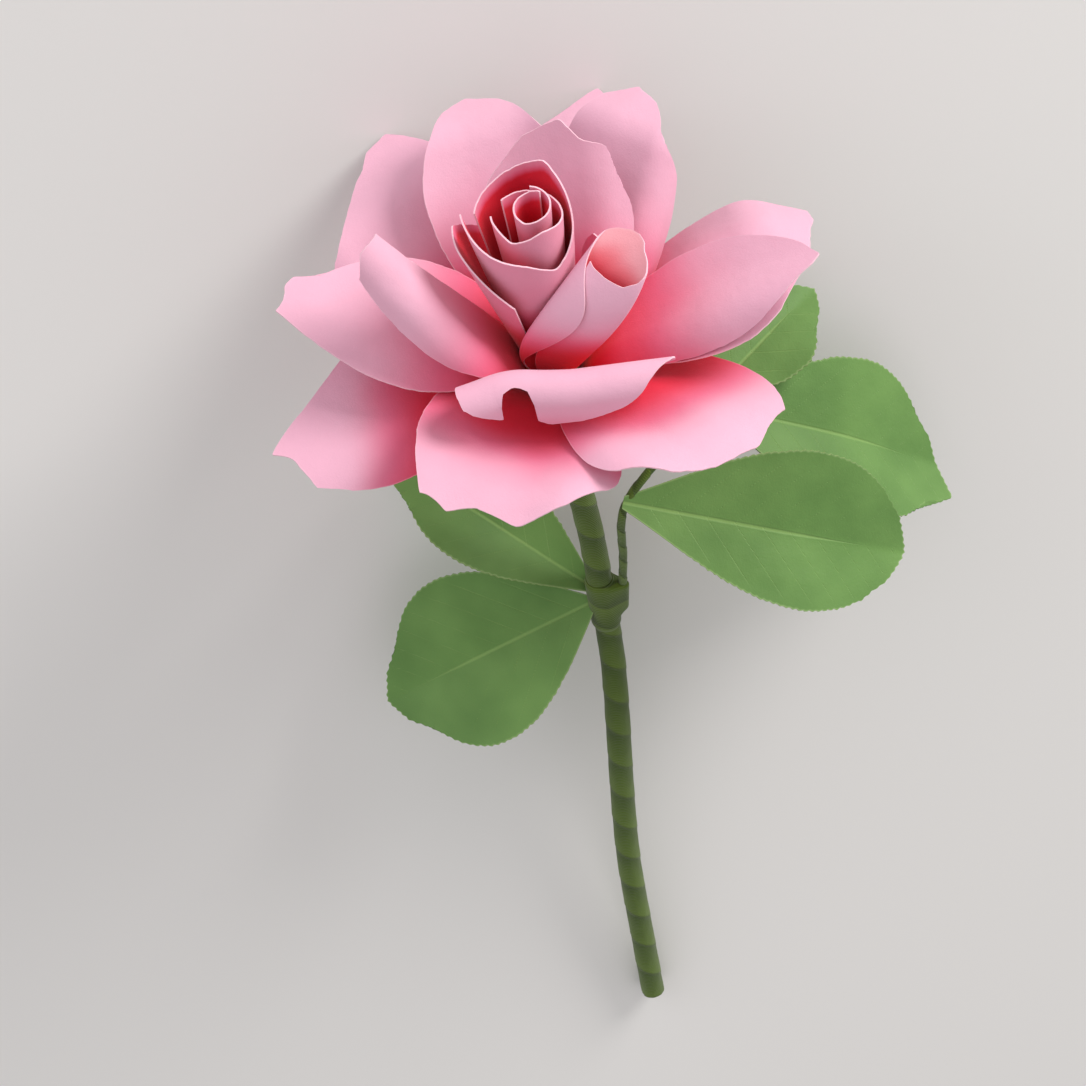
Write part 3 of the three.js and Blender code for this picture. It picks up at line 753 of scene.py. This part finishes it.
stemLine = ((1.2, -0.1, -22), (3.1, -1, -41), (3.9, -3, -60), (4.4, -5.3, -74), (4.1, -8, -87),
            (2.9, -13, -115), (2.6, -16.5, -133), (3.4, -21, -154), (4.2, -25, -172))
rod("stem_wrap", {
    "places": ((0, 0, -plugFoot - seam), (0.15, 0, -plugFoot - 5), *stemLine),
    "radius": tapeRadius, "wall": tapeRadius - bore, "rings": 500, "winding": 1 / 9})
stalkLine = ((7.7, -3, -61), (8.6, -3.8, -48), (10, -4.6, -31), (17, -1, -24), (29, 9, -23))
rod("leaf_stalk", {
    "places": stalkLine, "radius": stalkRadius, "wall": 0, "rings": 160, "winding": 1 / 5})

# A last turn of tape binds the stalk's foot to the stem. Each section is the outline drawn tight
# round the two, and at both ends the stalk's circle sinks into the stem's.
binding = {"low": -66, "high": -54, "cover": 0.3, "wall": 0.2, "ends": 3.4, "turns": 2.2}


def bindingPiece():
    bm = grid(72, 48)
    layers = tapeLayers(bm)
    places = [Vector(place) for place in stemLine[:5]]
    stem = [splinePoint(places, i / 400) for i in range(401)]
    stalkFoot, stalkNext = (Vector(place) for place in stalkLine[:2])
    for vert in bm.verts:
        turn = vert.co.x + 0.5
        up = vert.co.y + 0.5
        z = binding["low"] + (binding["high"] - binding["low"]) * up
        centre = min(stem, key=lambda place: abs(place.z - z))
        stalk = stalkFoot.lerp(stalkNext, (z - stalkFoot.z) / (stalkNext.z - stalkFoot.z))
        held = smooth(0, binding["ends"], z - binding["low"])
        held *= smooth(-0.2, binding["ends"] / 2, binding["high"] - z)
        stalk = centre.lerp(stalk, held)
        out = Vector((math.cos(math.tau * turn), math.sin(math.tau * turn)))
        thick = binding["cover"] * smooth(0, 0.08, min(up, 1 - up)) + 0.05
        rounds = ((centre, tapeRadius + thick), (stalk, stalkRadius + thick))
        at, radius = max(rounds, key=lambda each: each[0].xy.dot(out) + each[1])
        markTape(vert, layers, turn + binding["turns"] * up, z)
        vert.co = (at.x + out.x * radius, at.y + out.y * radius, z)
    return tubePiece("stalk_binding", bm, binding["wall"])


bindingPiece()

fold = (bend(4, 12, axis=-90), bend(4, 12, axis=90))
leafTip = ((-1, -7), (-0.6, -2), (0, 1.5), (0.6, -2), (1, -7))
# The teeth are given by their depth and width, and the heel is the foot's end under the tape
leafShape = {"ease": 0.05, "saw": (0.35, 1.3), "heel": 1.2}
leafMesh = {"columns": 24, "rows": 110}


def leaf(name, at, cut):
    cut = {"foot": leafFootHalfWidth, **leafShape, **cut}
    place = (Matrix.Translation(at) @ Matrix.Rotation(math.radians(cut["azimuth"] - 90), 4, "Z")
             @ Matrix.Rotation(math.radians(cut["rise"]), 4, "X")
             @ Matrix.Rotation(math.radians(-cut["yaw"]), 4, "Y"))
    columns = (len(cut["tip"]) - 1) * leafMesh["columns"]
    bm = drawSheet(cut, columns, leafMesh["rows"], place)
    return sheetPiece(name, bm, leafCard, (leafGreen, leafGreen, leafEdge))


leaf("leaf_left_low", (0.9, -3.2, -60.5), {
    "seed": 41, "azimuth": 187, "rise": -20, "yaw": 38, "length": 45, "left": (18, 24, 9),
    "right": (18, 24, 9), "tip": leafTip, "rolls": (*fold, bend(60, -15, y=22))})
leaf("leaf_left_high", (1.1, -0.9, -57), {
    "seed": 42, "azimuth": 150, "rise": 30, "yaw": 16, "length": 44, "left": (10, 16, 6),
    "right": (10, 16, 6), "tip": leafTip, "rolls": (*fold, bend(60, -15, y=22))})
leaf("leaf_right_front", (11.9, -5.5, -30), {
    "seed": 43, "azimuth": 352, "rise": -19, "yaw": -44, "length": 54, "heel": 2.4,
    "left": (15, 22, 11), "right": (12, 19, 10), "tip": leafTip,
    "rolls": (*fold, bend(60, -15, y=22))})
leaf("leaf_right_end", (29.7, 9.7, -23.4), {
    "seed": 44, "azimuth": 2, "rise": -30, "yaw": -30, "length": 53, "left": (14, 22, 8),
    "right": (14, 22, 9),
    "tip": ((-1, -8), (-0.6, -3), (0, 0.5), (0.5, 3.5), (0.7, 4.5), (1, -5)),
    "rolls": (*fold, bend(60, -15, y=22))})
leaf("leaf_right_back", (27.2, 9.6, -21.5), {
    "seed": 45, "azimuth": 40, "rise": 10, "yaw": -20, "length": 32, "left": (8, 14, 6),
    "right": (8, 14, 6), "tip": leafTip, "rolls": (*fold, bend(60, -15, y=16))})
print("stem and leaves made")

# The plug and the wire keep their solids
for node, material in (("petal_plug", plugPaper), ("stem_wire", wireSteel)):
    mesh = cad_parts[node].data
    mesh.materials.clear()
    mesh.materials.append(material)

# The camera looks at the flower as the photograph does. Its place is given in the flower's upright
# frame, in metres: right, up, back and where it stands.
view = {"lens": 92.82, "sensor": 36, "matrix": Matrix((
    (0.990268, 0.139173, 0, -0.006098),
    (-0.107389, 0.764115, -0.636078, -0.339641),
    (-0.088525, 0.629888, 0.771625, 0.368005),
    (0, 0, 0, 1)))}
camera = bpy.data.objects.new("camera", bpy.data.cameras.new("camera"))
bpy.context.scene.collection.objects.link(camera)
bpy.context.scene.camera = camera
camera.data.lens = view["lens"]
camera.data.sensor_width = view["sensor"]
camera.matrix_world = laying @ view["matrix"]

rightward, upward, backward = (camera.matrix_world.to_3x3().col[i].normalized() for i in range(3))
flower = laying @ Vector((0, 0, 0.025))

# A lamp stands towards the camera's right, up and back by these shares, away metres from the flower
lamps = {
    "key": {"towards": (0.8, 0.7, 0.6), "away": 1.2, "size": 0.6, "power": 13,
            "colour": (1, 0.97, 0.94)},
    "fill": {"towards": (-0.9, 0.3, 0.7), "away": 1.3, "size": 1.2, "power": 4,
             "colour": (0.93, 0.92, 1)}}
for name, lamp in lamps.items():
    glow = bpy.data.lights.new(name, "AREA")
    glow.shape = "DISK"
    glow.size = lamp["size"]
    glow.energy = lamp["power"]
    glow.color = lamp["colour"]
    right, up, back = lamp["towards"]
    direction = (rightward * right + upward * up + backward * back).normalized()
    made = bpy.data.objects.new(name, glow)
    bpy.context.scene.collection.objects.link(made)
    made.matrix_world = (Matrix.Translation(flower + direction * lamp["away"])
                         @ direction.to_track_quat("Z", "Y").to_matrix().to_4x4())

setting = {"floor": (222, 221, 219), "floorHalfSide": 2, "world": (1, 0.98, 0.98, 1),
           "strength": 0.68}
floorMesh = bpy.data.meshes.new("floor")
bm = bmesh.new()
bmesh.ops.create_grid(bm, x_segments=1, y_segments=1, size=setting["floorHalfSide"])
bm.to_mesh(floorMesh)
bm.free()
floor = bpy.data.objects.new("floor", floorMesh)
bpy.context.scene.collection.objects.link(floor)
floorGraph = Graph("floorPaint")
floorMesh.materials.append(floorGraph.finish(paint(*setting["floor"]), 0.9, (0, 0, 0), 0.1))
floorGraph.tree.nodes.remove(floorGraph.place.node)

world = bpy.data.worlds.new("soft")
world.use_nodes = True
world.node_tree.nodes["Background"].inputs["Color"].default_value = setting["world"]
world.node_tree.nodes["Background"].inputs["Strength"].default_value = setting["strength"]
bpy.context.scene.world = world
bpy.context.scene.view_settings.view_transform = "Standard"
print("camera, lamps and floor made")
